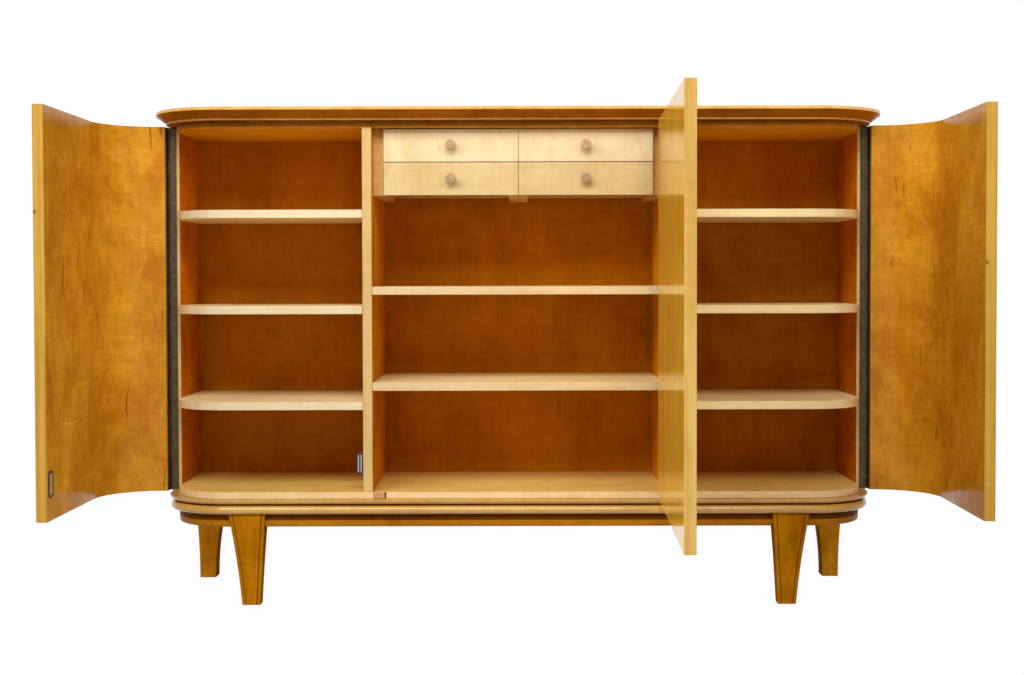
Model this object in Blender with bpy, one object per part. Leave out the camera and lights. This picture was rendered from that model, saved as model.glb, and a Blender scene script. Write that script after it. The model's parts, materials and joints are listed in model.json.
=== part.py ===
"""Birch sideboard: two curved end doors, a flat middle door, shelves and four small drawers.

Metres, +Z up. The front faces -Y. The doors stand open and the drawers are pushed in.
"""
import math

import bmesh
import bpy

for old in list(bpy.data.objects):
    bpy.data.objects.remove(old, do_unlink=True)

# Overall sizes
height = 1.060
body_width = 1.544
body_depth = 0.343
leg_height = 0.1685
fit_gap = 0.0003
arc_steps = 12

# Body boards
side_thick = 0.022
divider_thick = 0.020
end_bay_width = 0.4174
carcass_top_thick = 0.0127
bottom_thick = 0.0146
back_thick = 0.006
back_rebate = 0.0057
corner_radius = 0.120
hinge_setback = 0.129

# Top board and its moulded edge
top_thick = 0.026
top_overhang = 0.022
top_back_overhang = 0.003
lip_height = 0.0070
lip_round = 0.0018
fillet_height = 0.0045
bevel_inset = 0.0195

# Base moulding and apron
apron_height = 0.0281
apron_thick = 0.022
apron_inset = 0.0222
bead_height = 0.0183
bead_inset = 0.004
quirk_height = 0.0038
quirk_inset = 0.012
ovolo_height = 0.0090
ovolo_inset = 0.002
bead_steps = 6
ovolo_steps = 4

# Front legs
front_leg_inset = 0.1908
front_leg_top_width = 0.078
front_leg_foot_width = 0.0385
front_leg_foot_shift = 0.0069
front_leg_bow = 0.0028
front_leg_proud = 0.008
front_leg_rake = 0.010
front_leg_top_depth = 0.046
front_leg_foot_depth = 0.031
leg_waist = 0.0046
bead_border = 0.007
bead_groove = 0.0016
leg_steps = 7

# Back legs
back_leg_proud = 0.010
back_leg_top_width = 0.076
back_leg_foot_width = 0.0365
back_leg_lean = 0.0125
back_leg_depth = 0.043
back_leg_back_inset = 0.002

# Shelves, pins and pin holes
shelf_thick = 0.0175
shelf_side_gap = 0.0006
shelf_back_gap = 0.003
shelf_drop = 0.004
pin_radius = 0.003
pin_length = 0.007
pin_sides = 6
notch_clearance = 0.0008
hole_depth = 0.008
hole_pitch = 0.041
hole_raise = 0.0976
hole_top_margin = 0.085
divider_hole_setback = 0.054
side_hole_setback = 0.160
back_hole_inset = 0.013
side_shelf_rows = (2, 7, 12)
centre_shelf_rows = (3, 8)

# Doors
door_thick = 0.0215
door_meeting_gap = 0.003
door_top_gap = 0.001
door_bottom_gap = 0.0032
left_door_open = math.radians(90.3)
right_door_open = math.radians(88.5)
middle_door_open = math.radians(88.4)

# Piano hinges
leaf_thick = 0.001
leaf_width = 0.018
leaf_gap = 0.0004
knuckle_bore = 0.0013
hinge_pin_radius = 0.0010
hinge_pin_sides = 8
barrel_clearance = 0.0002
knuckle_count = 23
knuckle_gap = 0.0004
curl_steps = 7
curl_end_angle = 330
middle_hinge_offset = 0.0031
middle_leaf_let_in = 0.012
middle_hinge_end_gap = 0.002

# Drawers
drawer_front_height = 0.070
drawer_front_thick = 0.016
drawer_setback = 0.0225
drawer_gap = 0.0015
drawer_middle_gap = 0.001
drawer_top_gap = 0.002
drawer_back_gap = 0.0222
drawer_box_height = 0.052
drawer_wall = 0.012
drawer_bottom_thick = 0.004
drawer_bottom_raise = 0.006
drawer_groove = 0.004

# Drawer guides and their strips
side_guide_thick = 0.0228
guide_side_clearance = 0.001
centre_guide_thick = 0.043
guide_back_gap = 0.004
box_clearance = 0.0012
strip_width = 0.008
strip_engagement = 0.006
strip_clearance = 0.0006
strip_raise = 0.0312

# Turned knobs
knob_radius = 0.0108
knob_neck_radius = 0.006
knob_foot_radius = 0.0075
knob_neck_length = 0.004
knob_head_length = 0.0095
knob_chamfer = 0.0018
knob_length = 0.019
dowel_radius = 0.004
dowel_length = 0.011
knob_sides = 14

# Catch, strike plate and pad
catch_height = 0.053
catch_width = 0.0145
catch_depth = 0.018
catch_chamfer = 0.008
catch_raise = 0.0606
pole_thick = 0.0022
pole_depth = 0.009
pole_spacing = 0.0056
pole_proud = 0.0004
strike_height = 0.052
strike_width = 0.026
strike_thick = 0.0012
strike_edge_gap = 0.009
strike_chamfer = 0.005
pad_width = 0.024
pad_height = 0.0125
pad_depth = 0.004
pad_offset = 0.0015
pad_slack = 0.0035

# Levels and faces worked out from the sizes above
apron_top = leg_height + apron_height
moulding_bottom = apron_top + fit_gap
moulding_top = moulding_bottom + bead_height + quirk_height + ovolo_height
body_bottom = moulding_top + fit_gap
floor_z = body_bottom + bottom_thick
hole_first = floor_z + hole_raise
catch_z = floor_z + catch_raise
top_underside = height - top_thick
body_top = top_underside - fit_gap
ceiling_z = body_top - carcass_top_thick
body_half = body_width / 2
inner_half = body_half - side_thick
back_face = body_depth - back_thick - back_rebate
board_back = back_face - fit_gap
board_half = inner_half - fit_gap
door_clear = side_thick - door_thick + fit_gap
door_face = -(door_clear + door_thick)
door_bottom = body_bottom + door_bottom_gap
door_top = top_underside - door_top_gap
barrel_radius = knuckle_bore + leaf_thick
barrel_offset = barrel_radius + barrel_clearance
leaf_seat = fit_gap + leaf_thick + leaf_gap / 2
hinge_x = body_half + barrel_offset
hinge_y = hinge_setback - leaf_seat
middle_hinge_y = door_face - barrel_offset
divider_centre = inner_half - end_bay_width - divider_thick / 2
middle_hinge_x = divider_centre - middle_hinge_offset
middle_door_end = middle_hinge_x - leaf_seat
door_meeting = divider_centre + door_meeting_gap / 2
middle_door_free = -(divider_centre - door_meeting_gap / 2)
divider_inner = divider_centre - divider_thick / 2
divider_outer = divider_centre + divider_thick / 2

front_leg_centre = body_half - front_leg_inset
guide_face = divider_inner - fit_gap - side_guide_thick
drawer_half = guide_face - guide_side_clearance
drawer_front_width = drawer_half - drawer_middle_gap / 2
drawer_box_start = drawer_setback + drawer_front_thick + fit_gap
drawer_box_depth = back_face - drawer_back_gap - drawer_box_start

# The origin is the middle of the floor area that the open sideboard takes up
middle_door_reach = (middle_hinge_x - middle_door_free) * math.sin(middle_door_open) - middle_hinge_y
front_plane_y = (middle_door_reach - body_depth - top_back_overhang) / 2


def material(name, colour, roughness, metallic=0.0):
    """One plain finish."""
    made = bpy.data.materials.new(name)
    made.use_nodes = True
    shader = made.node_tree.nodes["Principled BSDF"]
    shader.inputs["Base Color"].default_value = (*colour, 1.0)
    shader.inputs["Roughness"].default_value = roughness
    shader.inputs["Metallic"].default_value = metallic
    return made


birch_honey = material("birch_honey", (0.46, 0.22, 0.045), 0.32)
birch_pale = material("birch_pale", (0.72, 0.50, 0.24), 0.45)
birch_amber = material("birch_amber", (0.40, 0.19, 0.04), 0.35)
steel_grey = material("steel_grey", (0.20, 0.18, 0.15), 0.40, 1.0)
catch_brown = material("catch_brown", (0.05, 0.012, 0.012), 0.35)
pole_steel = material("pole_steel", (0.55, 0.55, 0.52), 0.30, 1.0)
pad_red = material("pad_red", (0.45, 0.20, 0.13), 0.70)


def empty(name, parent=None, location=(0.0, 0.0, 0.0), turn=0.0):
    """A point that carries pieces, turned about Z."""
    point = bpy.data.objects.new(name, None)
    point.location = location
    point.rotation_euler = (0.0, 0.0, turn)
    point.parent = parent
    bpy.context.collection.objects.link(point)
    return point


sideboard = empty("sideboard", location=(0.0, front_plane_y, 0.0))


def add(name, bm, finish, parent=sideboard, location=(0.0, 0.0, 0.0), smooth=False):
    """Turn a bmesh into a named object with its finish."""
    bmesh.ops.remove_doubles(bm, verts=bm.verts, dist=1e-6)
    bmesh.ops.recalc_face_normals(bm, faces=bm.faces)
    mesh = bpy.data.meshes.new(name)
    bm.to_mesh(mesh)
    bm.free()
    mesh.materials.append(finish)
    if smooth:
        mesh.shade_smooth()
        mesh.set_sharp_from_angle(angle=math.radians(30))
    piece = bpy.data.objects.new(name, mesh)
    piece.location = location
    piece.parent = parent
    bpy.context.collection.objects.link(piece)
    return piece


def loft(loops, bm=None):
    """Skin a stack of closed loops with equal point counts and cap both ends."""
    bm = bm or bmesh.new()
    rings = [[bm.verts.new(point) for point in loop] for loop in loops]
    for low, high in zip(rings, rings[1:]):
        for i in range(len(low)):
            j = (i + 1) % len(low)
            bm.faces.new((low[i], low[j], high[j], high[i]))
    bm.faces.new(list(reversed(rings[0])))
    bm.faces.new(rings[-1])
    return bm


def prism(outline, low, high, axis="Z", bm=None):
    """Extrude a flat outline along X, Y or Z."""
    place = {
        "X": lambda p, h: (h, p[0], p[1]),
        "Y": lambda p, h: (p[0], h, p[1]),
        "Z": lambda p, h: (p[0], p[1], h),
    }[axis]
    return loft([[place(p, level) for p in outline] for level in (low, high)], bm)


def block(low, high, bm=None):
    """A box between two corners."""
    outline = [(low[0], low[1]), (high[0], low[1]), (high[0], high[1]), (low[0], high[1])]
    return prism(outline, low[2], high[2], "Z", bm)


def circle(centre, radius, sides):
    """Corners of a regular polygon with flats at the top and bottom."""
    turns = [2 * math.pi * i / sides for i in range(sides)]
    return [(centre[0] + radius * math.cos(a), centre[1] + radius * math.sin(a)) for a in turns]


def arc(centre, radius, start, end, steps):
    """Points along an arc, angles in degrees."""
    angles = [math.radians(start + (end - start) * i / steps) for i in range(steps + 1)]
    return [(centre[0] + radius * math.cos(a), centre[1] + radius * math.sin(a)) for a in angles]


def round_front(half, front, back, radius):
    """Outline of a board with square back corners and round front corners, from the back right."""
    left = arc((-half + radius, front + radius), radius, 180, 270, arc_steps)
    right = arc((half - radius, front + radius), radius, 270, 360, arc_steps)
    return [(half, back), (-half, back)] + left + right


def use_tool(target, tool, operation="DIFFERENCE"):
    """Cut a hidden tool out of a piece, or join it on."""
    tool.hide_render = True
    tool.display_type = "WIRE"
    step = target.modifiers.new(tool.name, "BOOLEAN")
    step.operation = operation
    step.solver = "EXACT"
    step.object = tool


def mirrored(outline, side):
    """An outline drawn for +X, on either side."""
    return [(side * x, y) for x, y in outline]


sides = (("left", -1), ("right", 1))


# Top board
def make_top_board():
    half = body_half + top_overhang
    front = door_face - top_overhang
    radius = corner_radius - door_face + top_overhang
    back = body_depth + top_back_overhang
    bevel_low = top_underside + fillet_height
    lip_low = height - lip_height
    profile = [
        (top_overhang, top_underside),
        (top_overhang, bevel_low),
        (bevel_inset, bevel_low),
        (lip_round, lip_low),
        (0.0, lip_low + lip_round),
        (0.0, height - lip_round),
        (lip_round, height),
    ]
    loops = []
    for inset, level in profile:
        outline = round_front(half - inset, front + inset, back, radius - inset)
        loops.append([(x, y, level) for x, y in outline])
    add("top_board", loft(loops), birch_honey, smooth=True)


make_top_board()

# Carcass top and bottom board, between the side panels
board_outline = round_front(board_half, 0.0, board_back, corner_radius)
add("carcass_top", prism(board_outline, ceiling_z, body_top), birch_amber)
bottom_board = add("bottom_board", prism(board_outline, body_bottom, floor_z), birch_honey)

# Pad let into the bottom board's front edge beside the left divider
pad_left = -divider_inner + pad_offset
pad_low = body_bottom + (bottom_thick - pad_height) / 2
pad_corner = (pad_left, 0.0, pad_low)
pad_far = (pad_left + pad_width, pad_depth, pad_low + pad_height)
add("door_pad", block(pad_corner, pad_far), pad_red)
pocket_low = [v - fit_gap for v in pad_corner]
pocket_high = [v + fit_gap for v in pad_far]
pocket_low[1] = -pad_depth
pocket_high[0] += pad_slack
pad_pocket = add("pad_pocket", block(pocket_low, pocket_high), pad_red)
use_tool(bottom_board, pad_pocket)

# Back panel between the side panels
back_low = (-board_half, back_face, body_bottom)
back_high = (board_half, back_face + back_thick, body_top)
add("back_panel", block(back_low, back_high), birch_amber)

# Pin rows: holes where no shelf rests, pins where one does
hole_rows = int((ceiling_z - hole_top_margin - hole_first) / hole_pitch) + 1
back_column = back_face - back_hole_inset
pin_flat = pin_radius * math.cos(math.pi / pin_sides)


def row_z(row):
    return hole_first + row * hole_pitch


def pin_rods(face_x, facing, columns, rows, reach_in, reach_out):
    """Short rods across a panel's face, one at each column and row."""
    bm = bmesh.new()
    ends = sorted((face_x - facing * reach_in, face_x + facing * reach_out))
    for column in columns:
        for row in rows:
            prism(circle((column, row_z(row)), pin_radius, pin_sides), ends[0], ends[1], "X", bm)
    return bm


def drill_face(panel, label, face_x, facing, columns, pinned_rows):
    """Bore the free rows of one face and set the pins of the others."""
    free_rows = [row for row in range(hole_rows) if row not in pinned_rows]
    bores = pin_rods(face_x, facing, columns, free_rows, hole_depth, pin_length)
    use_tool(panel, add(f"{panel.name}_{label}_holes", bores, birch_pale))
    pins = pin_rods(face_x, facing, columns, pinned_rows, hole_depth, pin_length)
    use_tool(panel, add(f"{panel.name}_{label}_pins", pins, birch_pale), "UNION")


# Side panels and dividers
divider_columns = (divider_hole_setback, back_column)
side_columns = (side_hole_setback, back_column)
dividers = {}
for label, side in sides:
    xs = sorted((side * inner_half, side * body_half))
    panel_body = block((xs[0], hinge_setback, body_bottom), (xs[1], body_depth, body_top))
    panel = add(f"side_panel_{label}", panel_body, birch_honey)
    drill_face(panel, "inner", side * inner_half, -side, side_columns, side_shelf_rows)

    xs = sorted((side * divider_inner, side * divider_outer))
    low = (xs[0], 0.0, floor_z + fit_gap)
    high = (xs[1], board_back, ceiling_z - fit_gap)
    divider = add(f"divider_{label}", block(low, high), birch_pale)
    drill_face(divider, "inner", side * divider_inner, -side, divider_columns, centre_shelf_rows)
    drill_face(divider, "outer", side * divider_outer, side, divider_columns, side_shelf_rows)
    dividers[label] = divider


# Shelves, notched underneath so that they drop over their pins
def shelf_notches(ends, shelf_low):
    """Slots for the pins at both ends of a shelf: each end is its X, its inward way and its columns."""
    bm = bmesh.new()
    pin_top = shelf_low + shelf_drop + pin_flat + fit_gap
    half_slot = pin_radius + notch_clearance
    for end_x, inward, columns in ends:
        xs = sorted((end_x - inward * pin_length, end_x + inward * (pin_length + notch_clearance)))
        for column in columns:
            low = (xs[0], column - half_slot, shelf_low - pin_length)
            block(low, (xs[1], column + half_slot, pin_top), bm)
    return bm


def make_shelf(name, row, outline, ends):
    low = row_z(row) - shelf_drop
    shelf = add(name, prism(outline, low, low + shelf_thick), birch_pale)
    use_tool(shelf, add(f"{name}_notches", shelf_notches(ends, low), birch_pale))


shelf_back = back_face - shelf_back_gap
shelf_outer = inner_half - shelf_side_gap
shelf_inner = divider_outer + shelf_side_gap
shelf_corner = arc((shelf_outer - corner_radius, corner_radius), corner_radius, 270, 360, arc_steps)
side_shelf = [(shelf_inner, shelf_back), (shelf_inner, 0.0)] + shelf_corner + [(shelf_outer, shelf_back)]
for label, side in sides:
    ends = (
        (side * divider_outer, side, divider_columns),
        (side * inner_half, -side, side_columns),
    )
    for number, row in enumerate(side_shelf_rows, 1):
        make_shelf(f"shelf_{label}_{number}", row, mirrored(side_shelf, side), ends)

centre_half = divider_inner - shelf_side_gap
centre_shelf = [(-centre_half, 0.0), (centre_half, 0.0)]
centre_shelf += [(centre_half, shelf_back), (-centre_half, shelf_back)]
centre_ends = (
    (-divider_inner, 1, divider_columns),
    (divider_inner, -1, divider_columns),
)
for number, row in enumerate(centre_shelf_rows, 1):
    make_shelf(f"shelf_centre_{number}", row, centre_shelf, centre_ends)


# Base moulding: a half-round bead, a quirk above it and an ovolo on top
def quarter_turns(first, last, steps):
    """Cosine and sine of evenly spaced angles, in quarter turns."""
    angles = [math.pi / 2 * (first + (last - first) * i / steps) for i in range(steps + 1)]
    return [(math.cos(a), math.sin(a)) for a in angles]


def make_base_moulding():
    half_bead = bead_height / 2
    bead_depth = quirk_inset - bead_inset
    ovolo_depth = quirk_inset - ovolo_inset
    profile = []
    for out, up in quarter_turns(-1, 1, bead_steps):
        profile.append((quirk_inset - bead_depth * out, moulding_bottom + half_bead * (1 + up)))
    for out, up in quarter_turns(-1, 0, ovolo_steps):
        profile.append((quirk_inset - ovolo_depth * out, moulding_top + ovolo_height * up))
    loops = []
    for inset, level in profile:
        radius = corner_radius - door_face - inset
        outline = round_front(body_half - inset, door_face + inset, body_depth, radius)
        loops.append([(x, y, level) for x, y in outline])
    add("base_moulding", loft(loops), birch_honey, smooth=True)


make_base_moulding()


# Base apron: a ring with round front corners
apron_half = body_half - apron_inset
apron_front = door_face + apron_inset
apron_back = body_depth - back_leg_back_inset
apron_radius = corner_radius - door_face - apron_inset


def apron_ring(grow, low, high):
    """The apron, or the same ring grown on every face."""
    outer = round_front(apron_half + grow, apron_front - grow, apron_back + grow, apron_radius + grow)
    inset = apron_thick + grow
    inner = round_front(apron_half - inset, apron_front + inset, apron_back - inset, apron_radius - inset)
    bm = bmesh.new()
    loops = []
    for level in (low, high):
        for outline in (outer, inner):
            loops.append([bm.verts.new((x, y, level)) for x, y in outline])
    low_outer, low_inner, high_outer, high_inner = loops
    bands = [(low_outer, high_outer), (high_inner, low_inner)]
    bands += [(high_outer, high_inner), (low_inner, low_outer)]
    for a, b in bands:
        for i in range(len(a)):
            j = (i + 1) % len(a)
            bm.faces.new((a[i], a[j], b[j], b[i]))
    return bm


add("base_apron", apron_ring(0.0, leg_height, apron_top), birch_amber, smooth=True)
joint_tool = add("apron_joint", apron_ring(fit_gap, leg_height - fit_gap, height), birch_amber)


# Legs, each lofted from foot to top and jointed round the apron
def bow(start, end, bulge, t):
    """Value on a line from start to end, pushed out by bulge at the middle."""
    return start + (end - start) * t + 4 * bulge * t * (1 - t)


def make_front_leg(label, side):
    top_front = apron_front - front_leg_proud
    loops = []
    for step in range(leg_steps + 1):
        level = apron_top * step / leg_steps
        t = 1 - step / leg_steps
        outer_top = front_leg_centre + front_leg_top_width / 2
        inner_top = front_leg_centre - front_leg_top_width / 2
        foot_centre = front_leg_centre - front_leg_foot_shift
        outer = bow(outer_top, foot_centre + front_leg_foot_width / 2, -front_leg_bow, t)
        inner = bow(inner_top, foot_centre - front_leg_foot_width / 2, 0.0, t)
        front = top_front + front_leg_rake * t
        back = front + bow(front_leg_top_depth, front_leg_foot_depth, -leg_waist, t)
        section = [(inner, back), (inner, front)]
        for edge, inward in ((inner, 1), (outer, -1)):
            groove = [
                (edge + inward * bead_border, front),
                (edge + inward * (bead_border + bead_groove / 2), front + bead_groove),
                (edge + inward * (bead_border + bead_groove), front),
            ]
            section += groove if inward > 0 else list(reversed(groove))
        section += [(outer, front), (outer, back)]
        loops.append([(side * x, y, level) for x, y in section])
    leg = add(f"leg_front_{label}", loft(loops), birch_amber, smooth=True)
    use_tool(leg, joint_tool)


def make_back_leg(label, side):
    back = apron_back - back_leg_back_inset
    front = back - back_leg_depth
    outer_foot = apron_half + back_leg_proud - back_leg_lean
    sweep = back_leg_top_width - back_leg_foot_width - back_leg_lean
    loops = []
    for step in range(leg_steps + 1):
        rise = step / leg_steps
        level = apron_top * rise
        outer = outer_foot + back_leg_lean * rise ** 2
        inner = outer_foot - back_leg_foot_width - sweep * rise ** 2
        section = [(inner, back), (inner, front), (outer, front), (outer, back)]
        loops.append([(side * x, y, level) for x, y in section])
    leg = add(f"leg_back_{label}", loft(loops), birch_amber, smooth=True)
    use_tool(leg, joint_tool)


for label, side in sides:
    make_front_leg(label, side)
    make_back_leg(label, side)


# Piano hinge leaf: a strip whose edge is rolled into knuckles round the pin
def leaf_outline(width):
    """Section of a leaf with its curl round the origin, the strip running along +X above the axis."""
    low = leaf_gap / 2
    high = low + leaf_thick
    rise = math.degrees(math.asin(high / barrel_radius))
    lip = math.degrees(math.asin(low / knuckle_bore))
    outer = arc((0.0, 0.0), barrel_radius, rise, curl_end_angle, curl_steps)
    inner = arc((0.0, 0.0), knuckle_bore, curl_end_angle, lip, curl_steps)
    return [(width, high)] + outer + inner + [(width, low)]


def knuckle_slots(low, high, taken):
    """Boxes that clear the barrel where the other leaf's knuckles turn."""
    bm = bmesh.new()
    pitch = (high - low) / knuckle_count
    reach = barrel_radius + knuckle_gap
    for i in range(knuckle_count):
        if i % 2 == taken:
            slot_low = low + i * pitch - knuckle_gap / 2
            slot_high = slot_low + pitch + knuckle_gap
            block((-2 * reach, -2 * reach, slot_low), (reach, 2 * reach, slot_high), bm)
    return bm


def make_leaf(name, width, low, high, taken, flip, parent, location, turn):
    """One leaf: flip mirrors it across the plane between the closed leaves."""
    outline = [(x, flip * y) for x, y in leaf_outline(width)]
    leaf = add(name, prism(outline, low, high), steel_grey, parent, location)
    leaf.rotation_euler = (0.0, 0.0, turn)
    slots = add(f"{name}_slots", knuckle_slots(low, high, taken), steel_grey, parent, location)
    slots.rotation_euler = (0.0, 0.0, turn)
    use_tool(leaf, slots)
    return leaf


def make_hinge(label, axis, low, high, carcass_width, turn, carcass_flip, door_empty):
    """Both leaves and the pin of one hinge, the leaves lying along turn when the door is closed."""
    place = (axis[0], axis[1], 0.0)
    name = f"hinge_{label}"
    make_leaf(f"{name}_carcass_leaf", carcass_width, low, high, 1, carcass_flip, sideboard, place, turn)
    make_leaf(f"{name}_door_leaf", leaf_width, low, high, 0, -carcass_flip, door_empty, (0.0, 0.0, 0.0), turn)
    pin = prism(circle((0.0, 0.0), hinge_pin_radius, hinge_pin_sides), low, high)
    add(f"{name}_pin", pin, steel_grey, location=place, smooth=True)


# End doors: flat, then rolled round the corner to the hinge
def end_door_outline():
    """Plan of the closed right-hand door about its hinge axis."""
    centre = (board_half - corner_radius, corner_radius)
    inner = arc(centre, corner_radius + door_clear, 270, 360, arc_steps)
    outer = arc(centre, corner_radius - door_face, 360, 270, arc_steps)
    end_y = hinge_y - leaf_seat
    inner_x = centre[0] + corner_radius + door_clear
    outer_x = centre[0] + corner_radius - door_face
    plan = [(door_meeting, -door_clear)] + inner + [(inner_x, end_y), (outer_x, end_y)]
    plan += outer + [(door_meeting, door_face)]
    return [(x - hinge_x, y - hinge_y) for x, y in plan]


door_empties = {}
for label, side, opened in (("left", -1, left_door_open), ("right", 1, right_door_open)):
    swing = empty(f"{label}_door_hinge", sideboard, (side * hinge_x, hinge_y, 0.0), side * opened)
    outline = mirrored(end_door_outline(), side)
    add(f"door_{label}", prism(outline, door_bottom, door_top), birch_honey, swing, smooth=True)
    turn = 0.0 if side < 0 else math.pi
    make_hinge(label, (side * hinge_x, hinge_y), door_bottom, door_top, leaf_width, turn, -side, swing)
    door_empties[label] = swing

# Middle door, hung on the right divider by a leaf let into its front edge
middle_axis = (middle_hinge_x, middle_hinge_y, 0.0)
middle_swing = empty("middle_door_hinge", sideboard, middle_axis, middle_door_open)
middle_low = (middle_door_free - middle_hinge_x, door_face - middle_hinge_y, door_bottom)
middle_high = (middle_door_end - middle_hinge_x, -door_clear - middle_hinge_y, door_top)
add("door_middle", block(middle_low, middle_high), birch_honey, middle_swing)
middle_leaf_width = middle_leaf_let_in - middle_hinge_y
hinge_low = floor_z + middle_hinge_end_gap
hinge_high = ceiling_z - middle_hinge_end_gap
make_hinge("middle", middle_axis, hinge_low, hinge_high, middle_leaf_width, math.pi / 2, -1, middle_swing)
kerf_left = middle_hinge_x + leaf_gap / 2 - fit_gap
kerf_right = kerf_left + leaf_thick + 2 * fit_gap
kerf_low = (kerf_left, -middle_leaf_let_in, hinge_low - fit_gap)
kerf_high = (kerf_right, middle_leaf_let_in + fit_gap, hinge_high + fit_gap)
kerf = add("divider_right_kerf", block(kerf_low, kerf_high), birch_pale)
use_tool(dividers["right"], kerf)

# Drawer guides: boards with strips that the drawers' grooved sides run on
upper_front_low = ceiling_z - drawer_top_gap - drawer_front_height
lower_front_low = upper_front_low - drawer_gap - drawer_front_height
drawer_levels = (("lower", lower_front_low), ("upper", upper_front_low))
box_outer = guide_face - box_clearance
box_inner = centre_guide_thick / 2 + box_clearance
box_raise = (drawer_front_height - drawer_box_height) / 2
strip_reach = box_clearance + strip_engagement
strip_mid = box_raise + strip_raise
guide_low = lower_front_low
guide_high = ceiling_z - fit_gap
guide_back = back_face - guide_back_gap
front_back = drawer_setback + drawer_front_thick


def guide_edge(face_x, facing):
    """One face of a guide from bottom to top, with a strip for each drawer."""
    edge = [(face_x, guide_low)]
    for _, front_low in drawer_levels:
        low = front_low + strip_mid - strip_width / 2
        tip = face_x + facing * strip_reach
        edge += [(face_x, low), (tip, low), (tip, low + strip_width), (face_x, low + strip_width)]
    return edge + [(face_x, guide_high)]


for label, side in sides:
    seat = side * (divider_inner - fit_gap)
    outline = guide_edge(side * guide_face, -side) + [(seat, guide_high), (seat, guide_low)]
    guide = prism(outline, front_back + fit_gap, guide_back, "Y")
    add(f"drawer_guide_{label}", guide, birch_pale)
centre_face = centre_guide_thick / 2
centre_outline = guide_edge(centre_face, 1) + list(reversed(guide_edge(-centre_face, -1)))
add("drawer_guide_centre", prism(centre_outline, front_back + fit_gap, guide_back, "Y"), birch_pale)


# Turned knob with its dowel, about the Y axis with the face towards -Y
def knob_profile():
    """Distance along the axis from the drawer front and radius, from the dowel's end to the face."""
    return [
        (-dowel_length, dowel_radius),
        (fit_gap, dowel_radius),
        (fit_gap, knob_foot_radius),
        (knob_neck_length, knob_neck_radius),
        (knob_length - knob_head_length, knob_radius - knob_chamfer),
        (knob_length - knob_head_length + knob_chamfer, knob_radius),
        (knob_length - knob_chamfer, knob_radius),
        (knob_length, knob_radius - knob_chamfer),
    ]


def make_knob(name, parent, location):
    loops = []
    for along, radius in knob_profile():
        loops.append([(x, -along, z) for x, z in circle((0.0, 0.0), radius, knob_sides)])
    add(name, loft(loops), birch_pale, parent, location, smooth=True)


# Drawers: front, glued box, bottom and knob, all on one sliding point
def make_drawer(level, front_low, label, side):
    name = f"drawer_{level}_{label}"
    centre_x = side * (drawer_middle_gap + drawer_front_width) / 2
    slide = empty(f"{name}_slide", sideboard, (centre_x, drawer_setback, front_low))
    half = drawer_front_width / 2
    front_box = block((-half, 0.0, 0.0), (half, drawer_front_thick, drawer_front_height))
    front = add(f"{name}_front", front_box, birch_pale, slide)
    mid_z = drawer_front_height / 2
    bore_outline = circle((0.0, mid_z), dowel_radius + fit_gap, knob_sides)
    bore = prism(bore_outline, -dowel_length, dowel_length + fit_gap, "Y")
    use_tool(front, add(f"{name}_bore", bore, birch_pale, slide))
    make_knob(f"{name}_knob", slide, (0.0, 0.0, mid_z))

    near, far = sorted((side * box_inner - centre_x, side * box_outer - centre_x))
    start = drawer_front_thick + fit_gap
    end = start + drawer_box_depth
    inner_near = near + drawer_wall
    inner_far = far - drawer_wall
    inner_end = end - drawer_wall
    plan = [(near, start), (inner_near, start), (inner_near, inner_end), (inner_far, inner_end)]
    plan += [(inner_far, start), (far, start), (far, end), (near, end)]
    top = box_raise + drawer_box_height
    box = add(f"{name}_box", prism(plan, box_raise, top), birch_pale, slide)

    grooves = bmesh.new()
    depth = strip_engagement + strip_clearance
    groove_low = strip_mid - strip_width / 2 - strip_clearance
    groove_high = strip_mid + strip_width / 2 + strip_clearance
    for wall, inward in ((near, 1), (far, -1)):
        xs = sorted((wall - inward * drawer_wall, wall + inward * depth))
        block((xs[0], -end, groove_low), (xs[1], 2 * end, groove_high), grooves)
    use_tool(box, add(f"{name}_grooves", grooves, birch_pale, slide))

    panel_low = box_raise + drawer_bottom_raise
    panel_high = panel_low + drawer_bottom_thick
    reach = drawer_groove - fit_gap
    panel_near = (inner_near - reach, start, panel_low)
    panel_far = (inner_far + reach, inner_end + reach, panel_high)
    add(f"{name}_bottom", block(panel_near, panel_far), birch_pale, slide)
    slot_near = (inner_near - drawer_groove, 0.0, panel_low - fit_gap)
    slot_far = (inner_far + drawer_groove, inner_end + drawer_groove, panel_high + fit_gap)
    use_tool(box, add(f"{name}_slot", block(slot_near, slot_far), birch_pale, slide))


for level, front_low in drawer_levels:
    for label, side in sides:
        make_drawer(level, front_low, label, side)

# Magnetic catch on the left divider: a chamfered case with two pole plates
catch_seat = -divider_outer - fit_gap
catch_low = catch_z - catch_height / 2
catch_high = catch_z + catch_height / 2
catch_tip = catch_seat - catch_width
case_outline = [
    (catch_seat, catch_low),
    (catch_seat, catch_high),
    (catch_tip, catch_high - catch_chamfer),
    (catch_tip, catch_low + catch_chamfer),
]
catch_front = strike_thick - door_clear + pole_proud + 2 * fit_gap
case = add("catch_case", prism(case_outline, catch_front, catch_front + catch_depth, "Y"), catch_brown)
pole_half = catch_height / 2 - catch_chamfer
for number, offset in enumerate((-pole_spacing / 2, pole_spacing / 2), 1):
    middle = catch_seat - catch_width / 2 + offset
    low = (middle - pole_thick / 2, catch_front - pole_proud, catch_z - pole_half)
    high = (middle + pole_thick / 2, catch_front + pole_depth, catch_z + pole_half)
    add(f"catch_pole_{number}", block(low, high), pole_steel)
    slot_low = [v - fit_gap for v in low]
    slot_high = [v + fit_gap for v in high]
    slot_low[1] = -catch_depth
    use_tool(case, add(f"catch_slot_{number}", block(slot_low, slot_high), pole_steel))

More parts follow.
